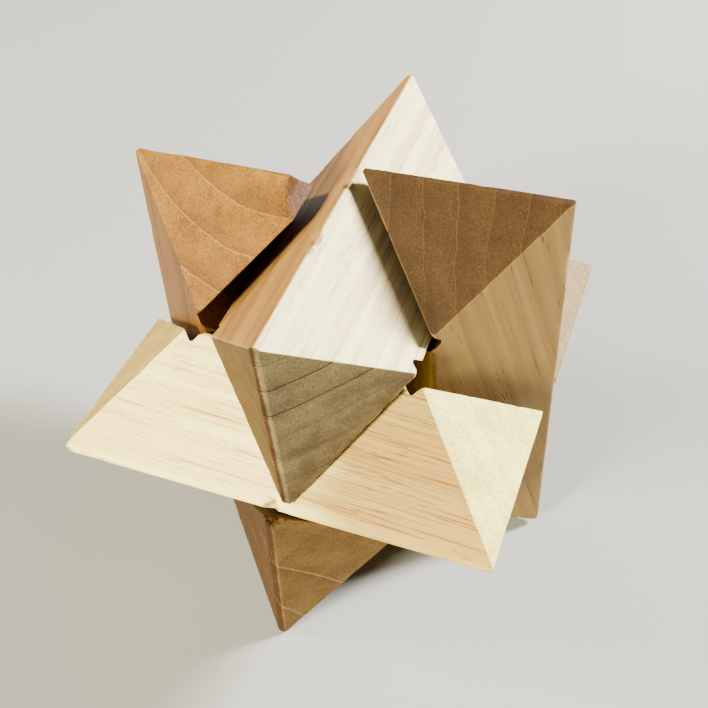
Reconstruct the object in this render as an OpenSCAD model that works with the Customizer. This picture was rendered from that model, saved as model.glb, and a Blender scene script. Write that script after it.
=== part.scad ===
/* Six-piece star burr. Six bars of square stock, all cut alike, lie two to
   each of three square directions and lock into a twelve-pointed star.
   +Z is up, and the star stands on the bottom bar's outer edge. */

/* [Bar stock] */
// Side of the square stock, across its flats
stock_side = 25; // [24:0.1:25.2]
// Length of a bar's outer edge, point to point before easing
bar_length = 76; // [75.6:0.1:77.4]
// From the middle of the star to the middle of each bar
centre_offset = 19; // [19:0.1:20]

/* [Saw cuts] */
// How far each notch runs past the middle of the stock
notch_overcut = 1.2; // [0.4:0.1:1.4]
// Width of the flat that the saw leaves at the bottom of a notch
notch_flat = 0.4; // [0.2:0.1:0.8]

/* [Easing and wear] */
// Depth sanded off every long edge
arris = 0.4; // [0.2:0.1:0.6]
// Length sanded off each point of the star
point_ease = 0.7; // [0.4:0.1:0.9]
// Radius of the hollow where the left bar's thin inner tip has broken away
tip_break_radius = 10; // [5:0.5:11]

/* [How each bar sits in its play] */
// Top bar, shifted in its seat
top_shift = [1, 0.55, 0.2]; // [-4:0.05:4]
// Top bar, turned in its seat
top_tilt = [1.9, -3.3, 1.6]; // [-4:0.1:4]
// Front bar, shifted in its seat
front_shift = [-0.65, -0.3, -0.3]; // [-4:0.05:4]
// Front bar, turned in its seat
front_tilt = [0.9, 0.3, 0.3]; // [-4:0.1:4]
// Rear bar, shifted in its seat
rear_shift = [-0.2, 2.15, 0.7]; // [-4:0.05:4]
// Rear bar, turned in its seat
rear_tilt = [0.3, -1.2, 0.4]; // [-4:0.1:4]
// Left bar, shifted in its seat
left_shift = [0.4, -1.3, 1.05]; // [-4:0.05:4]
// Left bar, turned in its seat
left_tilt = [1.1, 0, 1.6]; // [-4:0.1:4]
// Right bar, shifted in its seat
right_shift = [0.8, 3.6, 1.5]; // [-4:0.05:4]
// Right bar, turned in its seat
right_tilt = [-0.9, -1.5, 0.7]; // [-4:0.1:4]

/* [Hidden] */
half_length = bar_length / 2;
half_diagonal = stock_side * sqrt(2) / 2;
// The star's middle stands this high when the bottom bar's outer flat is on the table
star_height = centre_offset + half_diagonal - arris;
// Longer than anything that a cut has to pass through
reach = 2 * bar_length;

// A bar lies along Y with one edge facing up (+Z), which is the star's outer
// edge, and the opposite edge facing the middle of the star.
// Its section is a square on its corner, with all four corners sanded flat.
module stock_section() {
    flat = half_diagonal - arris;
    polygon([
        [-arris, flat], [arris, flat], [flat, arris], [flat, -arris],
        [arris, -flat], [-arris, -flat], [-flat, -arris], [-flat, arris]
    ]);
}

// Both ends are cut like a roof, with the ridge across the bar from the
// inner edge to the outer one.
module roof_ends() {
    linear_extrude(height = reach, center = true)
        polygon([[-half_length, 0], [0, -half_length], [half_length, 0], [0, half_length]]);
}

// A right-angled notch that opens towards the middle of the star, where a
// crossing bar's side edge lies in it.
module notch() {
    opening = bar_length;
    rotate([90, 0, 90])
        linear_extrude(height = reach, center = true)
            polygon([
                [-notch_flat / 2, notch_overcut],
                [notch_flat / 2, notch_overcut],
                [notch_flat / 2 + opening, notch_overcut - opening],
                [-notch_flat / 2 - opening, notch_overcut - opening]
            ]);
}

module notched_bar() {
    difference() {
        intersection() {
            rotate([90, 0, 0])
                linear_extrude(height = bar_length, center = true)
                    stock_section();
            roof_ends();
            cube([reach, bar_length - 2 * point_ease, reach], center = true);
        }
        for (side = [-1, 1])
            translate([0, side * centre_offset, 0])
                notch();
    }
}

// The same bar with one thin inner tip broken off along the grain.
module chipped_bar() {
    difference() {
        notched_bar();
        translate([0, half_length + tip_break_radius / 5, -half_diagonal - tip_break_radius / 5])
            rotate([0, 90, 0])
                cylinder(h = reach, r = tip_break_radius, center = true, $fn = 96);
    }
}

// Stands a bar in its place: turned onto its side of the star, moved out from
// the middle, then shifted and tilted within the play of its seat.
module seated(side, turn, shift, tilt) {
    translate([0, 0, star_height] + centre_offset * side + shift)
        rotate(tilt)
            rotate(turn)
                children();
}

module top_bar() {
    color("wheat")
        seated([0, 0, 1], [0, 0, 0], top_shift, top_tilt)
            notched_bar();
}

// The bar the star stands on, which sets the frame, so it is neither shifted nor tilted.
module bottom_bar() {
    color("sienna")
        seated([0, 0, -1], [0, 180, 0], [0, 0, 0], [0, 0, 0])
            notched_bar();
}

module front_bar() {
    color("burlywood")
        seated([0, -1, 0], [90, 90, 0], front_shift, front_tilt)
            notched_bar();
}

module rear_bar() {
    color("antiquewhite")
        seated([0, 1, 0], [-90, 90, 0], rear_shift, rear_tilt)
            notched_bar();
}

module left_bar() {
    color("peru")
        seated([-1, 0, 0], [90, 0, -90], left_shift, left_tilt)
            chipped_bar();
}

module right_bar() {
    color("saddlebrown")
        seated([1, 0, 0], [90, 0, 90], right_shift, right_tilt)
            notched_bar();
}

top_bar();
bottom_bar();
front_bar();
rear_bar();
left_bar();
right_bar();
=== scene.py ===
import math

import bmesh
import bpy
from mathutils import Matrix, Vector, noise
from mathutils.geometry import intersect_point_line


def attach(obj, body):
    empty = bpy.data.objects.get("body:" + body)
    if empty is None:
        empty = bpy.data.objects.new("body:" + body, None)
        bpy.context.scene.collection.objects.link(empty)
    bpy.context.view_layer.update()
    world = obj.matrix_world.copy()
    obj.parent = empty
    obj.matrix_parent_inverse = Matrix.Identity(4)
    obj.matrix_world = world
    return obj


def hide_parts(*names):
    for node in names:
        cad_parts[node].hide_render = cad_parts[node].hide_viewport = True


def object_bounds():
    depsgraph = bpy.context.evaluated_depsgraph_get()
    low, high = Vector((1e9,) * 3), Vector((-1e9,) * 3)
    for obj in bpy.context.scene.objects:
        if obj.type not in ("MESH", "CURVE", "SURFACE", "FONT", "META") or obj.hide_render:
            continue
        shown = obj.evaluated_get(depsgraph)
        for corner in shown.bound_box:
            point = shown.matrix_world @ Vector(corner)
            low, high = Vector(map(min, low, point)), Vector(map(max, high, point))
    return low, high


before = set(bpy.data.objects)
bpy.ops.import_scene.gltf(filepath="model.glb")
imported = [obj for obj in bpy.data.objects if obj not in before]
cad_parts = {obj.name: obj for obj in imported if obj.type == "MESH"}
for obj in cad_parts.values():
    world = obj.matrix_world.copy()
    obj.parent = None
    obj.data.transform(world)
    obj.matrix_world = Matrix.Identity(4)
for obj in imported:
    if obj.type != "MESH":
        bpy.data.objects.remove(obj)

cad_low, cad_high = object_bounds()
star_middle = (cad_low + cad_high) / 2
MM = 0.001


# ---------------------------------------------------------------------------
# Top bar. A length of square stock in pale sapwood, sawn to a roof at both
# ends and notched twice across its inner edge, then sanded by hand. It lies in
# the notches of the left and right bars. Its outer edge is scuffed and chipped.

ARRIS_ROUND = 0.28 * MM      # rounding that sandpaper leaves on every edge
BURR_LENGTH = 0.5 * MM       # how far edge wear reaches onto a face
SLICE_ALONG = 1.0 * MM       # spacing of the lines cut across a bar
SLICE_ACROSS = 1.25 * MM     # and of the lines cut along it
WELD = 0.002 * MM            # corners closer than this are one corner
ONE_FACE = math.radians(0.4)     # faces that turn less than this are one face
SANDED = math.radians(18)        # edges that turn more than this are sanded round
UNEVENNESS = 0.05 * MM       # how far hand sanding leaves a face from flat
SPLINTER_DEPTH = 0.16 * MM   # how deep the splinters along an edge go


def bar_place(sawn):
    """Where a sawn bar lies: X to its side, Y along it, Z out to the star's outer edge.
    Its two longest edges are the sides of the flat sanded on the outer edge."""
    edges = sorted(sawn.edges, key=lambda e: -e.calc_length())[:2]
    ends = [sorted((v.co.copy() for v in e.verts), key=lambda p: p.x + p.y + p.z) for e in edges]
    along = (ends[0][1] - ends[0][0]).normalized()
    middles = [(a + b) / 2 for a, b in ends]
    out = along.cross(middles[1] - middles[0]).normalized()
    if out.dot(middles[0] - star_middle) < 0:
        out.negate()
    side = along.cross(out)
    place = Matrix((side, along, out)).transposed().to_4x4()
    inside = [place.inverted() @ v.co for v in sawn.verts]
    low = Vector([min(p[i] for p in inside) for i in range(3)])
    high = Vector([max(p[i] for p in inside) for i in range(3)])
    place.translation = place @ ((low + high) / 2)
    return place


def slice_up(wood, normal, step):
    """Cuts lines across the bar's faces, so that wear has somewhere to show."""
    reach = [v.co.dot(normal) for v in wood.verts]
    low, high = min(reach), max(reach)
    count = int((high - low) / step)
    for i in range(1, count):
        at = low + (high - low) * i / count
        bmesh.ops.bisect_plane(
            wood, geom=wood.verts[:] + wood.edges[:] + wood.faces[:],
            dist=10 * WELD, plane_co=normal * at, plane_no=normal)


def along_grain(point, across, along):
    """The point in steps of the grain, so many to a metre across and along the bar."""
    return Vector((point.x * across, point.y * along, point.z * across))


def chipped(point, seed):
    """0 where an edge is sound and 1 where a splinter of it is gone. Splinters run along the grain."""
    coarse = noise.noise(along_grain(point, 400, 160) + seed)
    fine = noise.noise(along_grain(point, 900, 420) - seed)
    return max(0.0, min(1.0, (coarse + 0.5 * fine - 0.30) * 4))


def bar_from_stock(name, node, body, finish, number, dents=()):
    """The sawn bar of the frame, sanded round on its edges, worn, and dented where dents says:
    each is (place, reach, push), in millimetres, in the bar's own directions."""
    sawn = bmesh.new()
    sawn.from_mesh(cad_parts[node].data)
    bmesh.ops.remove_doubles(sawn, verts=sawn.verts, dist=WELD)
    bmesh.ops.dissolve_limit(sawn, angle_limit=ONE_FACE, verts=sawn.verts, edges=sawn.edges)
    place = bar_place(sawn)
    sawn.transform(place.inverted())
    bmesh.ops.recalc_face_normals(sawn, faces=sawn.faces)
    sharp = [e for e in sawn.edges if len(e.link_faces) == 2 and e.calc_face_angle() > SANDED]
    crests = [(e.verts[0].co.copy(), e.verts[1].co.copy()) for e in sharp]
    bmesh.ops.bevel(
        sawn, geom=sharp, offset=ARRIS_ROUND, offset_type="OFFSET",
        segments=2, profile=0.5, affect="EDGES", clamp_overlap=True)
    bmesh.ops.recalc_face_normals(sawn, faces=sawn.faces)
    slice_up(sawn, Vector((0, 1, 0)), SLICE_ALONG)
    slice_up(sawn, Vector((1, 0, 1)).normalized(), SLICE_ACROSS)
    slice_up(sawn, Vector((-1, 0, 1)).normalized(), SLICE_ACROSS)
    for where, reach, push in dents:
        middle, size = Vector(where) * MM, Vector(reach) * MM * 1.3
        near = {v for v in sawn.verts
                if sum(((v.co[i] - middle[i]) / size[i]) ** 2 for i in range(3)) < 1}
        bmesh.ops.subdivide_edges(
            sawn, edges=[e for e in sawn.edges if e.verts[0] in near and e.verts[1] in near],
            cuts=2, use_grid_fill=True)
    sawn.normal_update()
    worn = sawn.verts.layers.float.new("worn")
    dented = sawn.verts.layers.float.new("dented")
    seed = Vector((number * 7.3, number * 3.1, number * 5.7))
    moved = []
    for v in sawn.verts:
        gap = BURR_LENGTH
        for a, b in crests:
            foot, t = intersect_point_line(v.co, a, b)
            foot = a if t < 0 else b if t > 1 else foot
            gap = min(gap, (v.co - foot).length)
        edge = 1 - gap / BURR_LENGTH
        v[worn] = edge
        lift = UNEVENNESS * noise.noise(v.co * 70 + seed)
        lift -= SPLINTER_DEPTH * edge * chipped(v.co, seed)
        move = v.normal * lift
        for where, reach, push in dents:
            off = [(v.co[i] - where[i] * MM) / (reach[i] * MM) for i in range(3)]
            away = sum(o * o for o in off)
            if away < 1:
                ragged = 1 + 0.5 * noise.noise(along_grain(v.co, 1500, 500) + seed)
                move += Vector(push) * MM * (1 - away) * ragged
                v[dented] = max(v[dented], min(1.0, 1.6 * (1 - away)))
        moved.append(v.co + move)
    for v, co in zip(sawn.verts, moved):
        v.co = co
    mesh = bpy.data.meshes.new(name)
    sawn.to_mesh(mesh)
    sawn.free()
    mesh.polygons.foreach_set("use_smooth", [True] * len(mesh.polygons))
    mesh.materials.append(finish)
    bar = bpy.data.objects.new(name, mesh)
    bpy.context.scene.collection.objects.link(bar)
    bar.matrix_world = place
    flats = bar.modifiers.new("flat_faces", "WEIGHTED_NORMAL")
    flats.weight = 70
    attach(bar, body)
    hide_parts(node)
    return bar


WAX_IOR = 1.22               # thin wax, half rubbed off, which shines less than a varnish
GRAIN_RELIEF = 0.10 * MM     # how deep the fibres and pores go


def wood(name, pith, lean, ring, rings, hairs, pores, tints, end_tones, shine, number):
    """Bare waxed wood, laid out as the bar was cut from the tree, in millimetres along the bar's X, Y, Z.
    pith: (x, z) of the tree's middle. lean: how far the grain runs off per millimetre of length.
    ring: (width, share that is the ring line, how strongly the ring shades, wander,
          how strong its line is on the long faces, first and last ring with a strong line).
    rings: colours of the (early wood, late wood, ring line).
    hairs: dark hair lines, as (colour, how strong, how many).
    pores: (dark colour, how strong, how many, colour of the pale flecks, how strong).
    tints: colours that part of the bar is multiplied by, as (colour, direction, start, how soft);
    on the front and bottom bars the tint is painted shade.
    end_tones: the same for the faces sawn across the grain, at the bar's -Y and +Y ends;
    on the front bar the -Y end is painted shade and the +Y end painted light.
    shine: roughness on the long faces. number: makes each bar's figure its own."""
    mat = bpy.data.materials.new(name)
    mat.use_nodes = True
    tree = mat.node_tree
    shader = tree.nodes["Principled BSDF"]

    def put(kind, inputs=None, **settings):
        made = tree.nodes.new("ShaderNode" + kind)
        for key, value in settings.items():
            setattr(made, key, value)
        for key, value in (inputs or {}).items():
            if isinstance(value, bpy.types.NodeSocket):
                tree.links.new(value, made.inputs[key])
            else:
                made.inputs[key].default_value = value
        return made

    def sums(operation, a, b=0.0, c=0.0):
        return put("Math", {0: a, 1: b, 2: c}, operation=operation).outputs[0]

    def product(first, *more):
        for other in more:
            first = sums("MULTIPLY", first, other)
        return first

    def scaled(vector, by):
        return put("VectorMath", {0: vector, 1: by}, operation="MULTIPLY").outputs[0]

    def cloud(vector, by, detail=2.0, rough=0.5, shift=0.0):
        moved = put("VectorMath", {0: scaled(vector, by), 1: (number * 11.7 + shift,) * 3}, operation="ADD")
        inputs = {"Vector": moved.outputs[0], "Scale": 1.0, "Detail": detail, "Roughness": rough}
        return put("TexNoise", inputs).outputs[0]

    def ramp(value, start, end, low=0.0, high=1.0):
        inputs = {0: value, 1: start, 2: end, 3: low, 4: high}
        return put("MapRange", inputs, interpolation_type="SMOOTHSTEP").outputs[0]

    def blended(share, a, b, how="MIX"):
        made = put("Mix", {0: share}, data_type="RGBA", blend_type=how)
        for key, value in ((6, a), (7, b)):
            if isinstance(value, bpy.types.NodeSocket):
                tree.links.new(value, made.inputs[key])
            else:
                made.inputs[key].default_value = (*value, 1.0)
        return made.outputs[2]

    def grey(value):
        return put("CombineColor", {0: value, 1: value, 2: value}).outputs[0]

    bar_mm = scaled(put("TexCoord").outputs["Object"], (1 / MM,) * 3)
    parts = put("SeparateXYZ", {0: bar_mm})
    y = parts.outputs[1]
    x = sums("SUBTRACT", parts.outputs[0], product(y, lean[0]))
    z = sums("SUBTRACT", parts.outputs[2], product(y, lean[1]))
    grain = put("CombineXYZ", {0: x, 1: y, 2: z}).outputs[0]

    # 1 on faces sawn across the grain, 0 on faces along it
    facing = put("VectorTransform", {0: put("NewGeometry").outputs["Normal"]},
                 vector_type="NORMAL", convert_from="WORLD", convert_to="OBJECT").outputs[0]
    facing = put("SeparateXYZ", {0: facing})
    across = ramp(sums("ABSOLUTE", facing.outputs[1]), 0.30, 0.62)
    # painted shade on the notch faces, in the recesses where the bars meet
    notch_painted_shade = product(across, ramp(facing.outputs[2], -0.60, -0.30, 1.0, 0.0))
    lengthwise = sums("SUBTRACT", 1.0, across)

    # Growth rings: circles about the pith that wander as the tree did
    width, line_share, shading, wander, line_on_side, dry_from, dry_to = ring
    wave = product(sums("SUBTRACT", cloud(grain, (0.07, 0.016, 0.07), 2.0), 0.5), 2 * wander)
    ripple = product(sums("SUBTRACT", cloud(grain, (0.9, 0.08, 0.9), 3.0), 0.5), 0.35)
    dx, dz = sums("SUBTRACT", x, pith[0]), sums("SUBTRACT", z, pith[1])
    radius = sums("SQRT", sums("ADD", product(dx, dx), product(dz, dz)))
    age = sums("DIVIDE", sums("ADD", sums("ADD", radius, wave), ripple), width)
    season = sums("FRACT", age)
    year_number = sums("ADD", sums("FLOOR", age), number)
    year = put("TexWhiteNoise", {"W": year_number}, noise_dimensions="1D").outputs[0]
    late = product(sums("POWER", season, 3.0), shading, sums("MULTIPLY_ADD", year, 0.6, 0.6))
    line = product(ramp(season, 1 - line_share, 1 - 0.3 * line_share), ramp(season, 1.0, 0.985),
                   ramp(age, dry_from - 0.4, dry_from, 0.2, 1.0), ramp(age, dry_to + 0.4, dry_to, 0.2, 1.0),
                   sums("MULTIPLY_ADD", across, 1 - line_on_side, line_on_side))

    # Fibres, broad bands and broken dark hair lines, all drawn out along the grain
    fine = cloud(grain, (3.2, 0.10, 3.2), 4.0, 0.65)
    band = cloud(grain, (0.26, 0.008, 0.26), 3.0, 0.55, 3.1)
    hair_colour, hair_share, hair_many = hairs
    contour = sums("ABSOLUTE", sums("SUBTRACT", cloud(grain, (1.35, 0.014, 1.35), 2.0, 0.6, 7.7), 0.5))
    broken = cloud(grain, (0.6, 0.035, 0.6), 3.0, 0.6, 5.3)
    hair = product(ramp(contour, 0.002, 0.022, 1.0, 0.0), ramp(broken, 0.60 - hair_many, 0.74 - hair_many),
                   sums("MULTIPLY_ADD", band, 1.2, 0.2), lengthwise)

    # Pores: dashes on the long faces, dots on the ends, most of them early in the ring
    pore_colour, pore_share, pore_many, fleck_colour, fleck_share = pores
    cell = put("TexVoronoi", {"Vector": scaled(grain, (3.1, 0.34, 3.1)), "Scale": 1.0, "Randomness": 1.0})
    dot = ramp(cell.outputs["Distance"], 0.20, 0.42, 1.0, 0.0)
    crowd = sums("SUBTRACT", cloud(grain, (0.6, 0.10, 0.6), 2.0, 0.6), product(season, 0.12))
    hole = product(dot, ramp(crowd, 0.66 - pore_many, 0.74 - pore_many))
    pick = sums("GREATER_THAN", put("SeparateXYZ", {0: cell.outputs["Color"]}).outputs[0], 0.55)
    fleck = product(dot, pick, ramp(season, 0.02, 0.5, 1.0, 0.15))

    # The colours, laid over one another: rings, bands, fibres, hair lines, ring lines and pores
    early_wood, late_wood, line_colour = rings
    colour = blended(late, early_wood, late_wood)
    colour = blended(product(ramp(band, 0.36, 0.72), 0.7), colour, late_wood)
    colour = blended(1.0, colour, grey(sums("MULTIPLY_ADD", fine, 0.5, 0.75)), "MULTIPLY")
    colour = blended(product(hair, hair_share), colour, hair_colour)
    colour = blended(line, colour, line_colour)
    colour = blended(product(hole, pore_share), colour, pore_colour)
    for tint, towards, start, soft in tints:
        depth = product(sums("SUBTRACT", band, 0.5), 2 * soft)
        for step, share in zip((x, y, z), towards):
            depth = sums("ADD", depth, product(step, share))
        tinted = blended(1.0, colour, tint, "MULTIPLY")
        colour = blended(ramp(depth, start - soft, start + soft), colour, tinted)

    # The ends: mottled, with pale flecks in the pores
    mottle = cloud(bar_mm, (2.6, 2.6, 2.6), 4.0, 0.75)
    patch = cloud(bar_mm, (0.16, 0.16, 0.16), 3.0, 0.6, 2.2)
    end_tone = blended(ramp(y, 3.0, 10.0), end_tones[0], end_tones[1])
    cloudy = sums("ADD", sums("MULTIPLY_ADD", mottle, -2.0, 2.0), product(sums("SUBTRACT", patch, 0.5), 0.5))
    speckled = blended(1.0, blended(1.0, colour, end_tone, "MULTIPLY"), grey(cloudy), "MULTIPLY")
    speckled = blended(product(fleck, fleck_share), speckled, fleck_colour)
    colour = blended(across, colour, speckled)

    # Wear: edges rubbed pale and broken fibres dark. The notch faces, where the bars meet, are darkened as
    # painted shade.
    rubbed = product(put("Attribute", attribute_name="worn").outputs["Fac"],
                     ramp(cloud(bar_mm, (0.5, 0.25, 0.5), 3.0, 0.7), 0.40, 0.62, 0.1, 0.8))
    colour = blended(product(rubbed, 0.25), colour, (1.0, 1.0, 1.0), "SOFT_LIGHT")
    torn = product(put("Attribute", attribute_name="dented").outputs["Fac"],
                   ramp(fine, 0.42, 0.60, 0.15, 0.85))
    colour = blended(torn, colour, (0.34 * early_wood[0], 0.24 * early_wood[1], 0.22 * early_wood[2]))
    # the notch faces darkened as painted shade
    colour = blended(notch_painted_shade, colour, blended(1.0, colour, (0.62, 0.52, 0.45), "MULTIPLY"))
    tree.links.new(colour, shader.inputs["Base Color"])

    rough = sums("ADD", sums("MULTIPLY_ADD", fine, 0.20, shine - 0.10), product(across, 0.10))
    tree.links.new(sums("ADD", rough, product(hole, 0.2)), shader.inputs["Roughness"])
    shader.inputs["IOR"].default_value = WAX_IOR
    relief = sums("SUBTRACT", product(fine, 0.45), product(sums("ADD", hole, hair), 0.6))
    relief = sums("ADD", relief, product(mottle, across, 0.6))
    bump = put("Bump", {"Height": relief, "Strength": 0.5, "Distance": GRAIN_RELIEF})
    tree.links.new(bump.outputs[0], shader.inputs["Normal"])
    return mat


top_wood = wood(
    "pale_top_wood", pith=(0, 53.3), lean=(0.004, -0.006), ring=(5.0, 0.07, 0.35, 0.4, 0.15, 8.6, 10.2),
    rings=((0.95, 0.81, 0.40), (0.38, 0.26, 0.145), (0.10, 0.07, 0.03)),
    hairs=((0.32, 0.20, 0.11), 0.75, 0.20), pores=((0.30, 0.20, 0.10), 0.35, 0.19, (0.30, 0.22, 0.10), 0.3),
    tints=[((0.31, 0.185, 0.09), (-1, 0, 0), -0.15, 0.2)],
    end_tones=((0.159, 0.142, 0.135), (0.62, 0.62, 0.62)), shine=0.52, number=1)
rough_stretch = ((0.3, 3.6, 17.4), (1.5, 3.4, 1.5), (0.1, 0, -0.5))
chip = ((-0.2, -12.4, 17.3), (1.3, 2.4, 1.3), (0.2, 0, -0.75))
chip_tail = ((-0.2, -15.6, 17.3), (1.0, 1.2, 1.0), (0.1, 0, -0.45))
bar_from_stock(
    "top_bar_wood", "top_bar", "top", top_wood, 1,
    dents=[rough_stretch, chip, chip_tail])


# ---------------------------------------------------------------------------
# Bottom bar. Brown heartwood with wide rings, the one the star stands on.
# A bite is missing from its inner tip at the front.

bottom_wood = wood(
    "brown_bottom_wood", pith=(44, 36), lean=(0.01, 0.02), ring=(7.4, 0.06, 0.50, 0.7, 0.4, 6.6, 8.2),
    rings=((0.15, 0.083, 0.021), (0.095, 0.048, 0.013), (0.26, 0.16, 0.05)),
    hairs=((0.045, 0.022, 0.008), 0.5, 0.12),
    pores=((0.04, 0.02, 0.007), 0.6, 0.16, (0.26, 0.16, 0.045), 0.45),
    # the tint darkens the bar's +X side, its left face, as painted shade
    tints=[((0.26, 0.21, 0.17), (1, 0, 0), -0.15, 0.2)],
    end_tones=((1.0, 1.0, 1.0), (0.85, 0.85, 0.85)), shine=0.50, number=2)
bitten_tip = ((-1.1, -36.6, -16.6), (1.8, 2.0, 2.0), (0.5, 0.9, 1.0))
bar_from_stock(
    "bottom_bar_wood", "bottom_bar", "bottom", bottom_wood, 2, dents=[bitten_tip])


# ---------------------------------------------------------------------------
# Front bar. Cream sapwood, flat sawn, so that its upper face shows long wavy
# lines. Its outer edge has a small nick in the middle, and its left point is rubbed round.

front_wood = wood(
    "cream_front_wood", pith=(37, -58), lean=(0.03, 0.02), ring=(4.2, 0.10, 0.35, 2.2, 0.2, 12, 14),
    rings=((0.97, 0.84, 0.31), (0.80, 0.50, 0.14), (0.42, 0.38, 0.22)),
    hairs=((0.25, 0.13, 0.05), 0.9, 0.25), pores=((0.30, 0.18, 0.07), 0.6, 0.16, (0.9, 0.85, 0.5), 0.2),
    # the tint darkens the +Y half of the bar as painted shade of the top bar's tip above it
    tints=[((0.51, 0.40, 0.27), (0, 1, 0), 7, 7)],
    # the end tones paint the -Y end dark as painted shade and the +Y end pale as painted light
    end_tones=((0.36, 0.30, 0.175), (1.45, 2.05, 2.1)), shine=0.50, number=3)
nick = ((0, 1.2, 17.3), (1.4, 0.9, 1.6), (0, 0, -1.5))
rubbed_point = ((0, -37.6, 17.4), (1.6, 1.8, 1.6), (0, 0.35, -0.35))
bar_from_stock(
    "front_bar_wood", "front_bar", "front", front_wood, 3, dents=[nick, rubbed_point])


# ---------------------------------------------------------------------------
# Rear bar. Pale wood with a pinkish cast, held in the notches of the top and
# bottom bars at the back of the star.

rear_wood = wood(
    "pinkish_rear_wood", pith=(-30, 48), lean=(0.015, 0.01), ring=(4.6, 0.07, 0.35, 1.4, 0.3, 9, 11),
    rings=((0.62, 0.45, 0.20), (0.46, 0.31, 0.13), (0.26, 0.16, 0.06)),
    hairs=((0.28, 0.17, 0.07), 0.6, 0.12), pores=((0.24, 0.14, 0.06), 0.5, 0.14, (0.8, 0.6, 0.35), 0.3),
    tints=[], end_tones=((0.34, 0.30, 0.27), (0.34, 0.30, 0.27)), shine=0.52, number=4)
bar_from_stock("rear_bar_wood", "rear_bar", "rear", rear_wood, 4)


# ---------------------------------------------------------------------------
# Left bar. Golden-brown heartwood whose ends show wide ring arcs and fine
# pores. Its upper inner tip has broken away and left a hollow with torn fibres.

left_wood = wood(
    "golden_brown_left_wood", pith=(-30, -10), lean=(0.01, 0.0), ring=(5.0, 0.045, 0.85, 0.6, 0.3, 5, 12),
    rings=((0.105, 0.043, 0.005), (0.054, 0.020, 0.003), (0.15, 0.077, 0.015)),
    hairs=((0.04, 0.016, 0.005), 0.5, 0.12),
    pores=((0.04, 0.016, 0.005), 0.6, 0.20, (0.42, 0.24, 0.05), 0.5),
    tints=[], end_tones=((2.05, 2.2, 2.2), (2.05, 2.2, 2.2)), shine=0.50, number=5)
torn_hollow = ((0, 34.0, -12.0), (7.0, 3.5, 5.0), (0, -0.35, 0.25))
bar_from_stock(
    "left_bar_wood", "left_bar", "left", left_wood, 5, dents=[torn_hollow])


# ---------------------------------------------------------------------------
# Right bar. Dark brown heartwood, sawn askew to the grain, so that its rings
# cross the ends as shallow arcs and its streaks run aslant on the long faces.

right_wood = wood(
    "dark_brown_right_wood", pith=(4, 62), lean=(-0.23, -0.23), ring=(5.5, 0.06, 0.70, 2.3, 0.3, 6, 20),
    rings=((0.25, 0.155, 0.049), (0.165, 0.095, 0.029), (0.35, 0.21, 0.07)),
    hairs=((0.03, 0.018, 0.009), 0.85, 0.09),
    pores=((0.03, 0.016, 0.008), 0.75, 0.12, (0.13, 0.07, 0.018), 0.4),
    tints=[], end_tones=((0.37, 0.37, 0.37), (0.19, 0.15, 0.12)), shine=0.50, number=6)
bar_from_stock("right_bar_wood", "right_bar", "right", right_wood, 6)


# ---------------------------------------------------------------------------
# Table top, soft boxes and camera. The table is plain and pale, and lies just
# under the star. One soft box stands behind on the right, one in front, one on the left.

def plain(name, colour, rough):
    mat = bpy.data.materials.new(name)
    mat.use_nodes = True
    shader = mat.node_tree.nodes["Principled BSDF"]
    shader.inputs["Base Color"].default_value = (*colour, 1)
    shader.inputs["Roughness"].default_value = rough
    return mat


table_mesh = bpy.data.meshes.new("table_top")
table = bmesh.new()
bmesh.ops.create_grid(table, x_segments=1, y_segments=1, size=3.0)
table.to_mesh(table_mesh)
table.free()
table_mesh.materials.append(plain("pale_table", (0.27, 0.27, 0.265), 0.8))
table_top = bpy.data.objects.new("table_top", table_mesh)
table_top.location.z = cad_low.z - UNEVENNESS
bpy.context.scene.collection.objects.link(table_top)


def soft_box(name, towards, size, power, colour, distance=1.0):
    """A soft box that shines on the middle of the star from the direction towards."""
    lamp = bpy.data.lights.new(name, "AREA")
    lamp.shape = "DISK"
    lamp.size = size
    lamp.energy = power
    lamp.color = colour
    held = bpy.data.objects.new(name, lamp)
    direction = Vector(towards).normalized()
    held.location = star_middle + direction * distance
    held.rotation_mode = "QUATERNION"
    held.rotation_quaternion = direction.to_track_quat("Z", "Y")
    bpy.context.scene.collection.objects.link(held)


soft_box("rear_window", (0.68, 0.58, 0.46), 0.22, 72, (1.0, 0.98, 0.92))
soft_box("front_window", (-0.44, -0.83, 0.33), 0.30, 45, (1.0, 0.94, 0.68))
soft_box("left_window", (-0.80, -0.20, 0.57), 0.30, 16, (1.0, 0.94, 0.74))

world = bpy.data.worlds.new("room")
world.use_nodes = True
world.node_tree.nodes["Background"].inputs[0].default_value = (1.0, 0.80, 0.60, 1)
world.node_tree.nodes["Background"].inputs[1].default_value = 0.11
bpy.context.scene.world = world

eye = bpy.data.cameras.new("eye")
eye.sensor_width = 36
eye.lens = 51.4
eye.clip_start = 0.01
eye.clip_end = 20
camera = bpy.data.objects.new("eye", eye)
bpy.context.scene.collection.objects.link(camera)
eye_turn = math.radians(21.8)
eye_rise = math.radians(43.2)
eye_roll = math.radians(-1.8)
eye_distance = 186.1 * MM
looked_at = Vector((0.7, 0.6, 36.6)) * MM
level = math.cos(eye_rise)
back = Vector((math.sin(eye_turn) * level, -math.cos(eye_turn) * level, math.sin(eye_rise)))
camera.rotation_mode = "QUATERNION"
camera.location = looked_at + back * eye_distance
roll = Matrix.Rotation(eye_roll, 4, "Z").to_quaternion()
camera.rotation_quaternion = (-back).to_track_quat("-Z", "Y") @ roll
bpy.context.scene.camera = camera
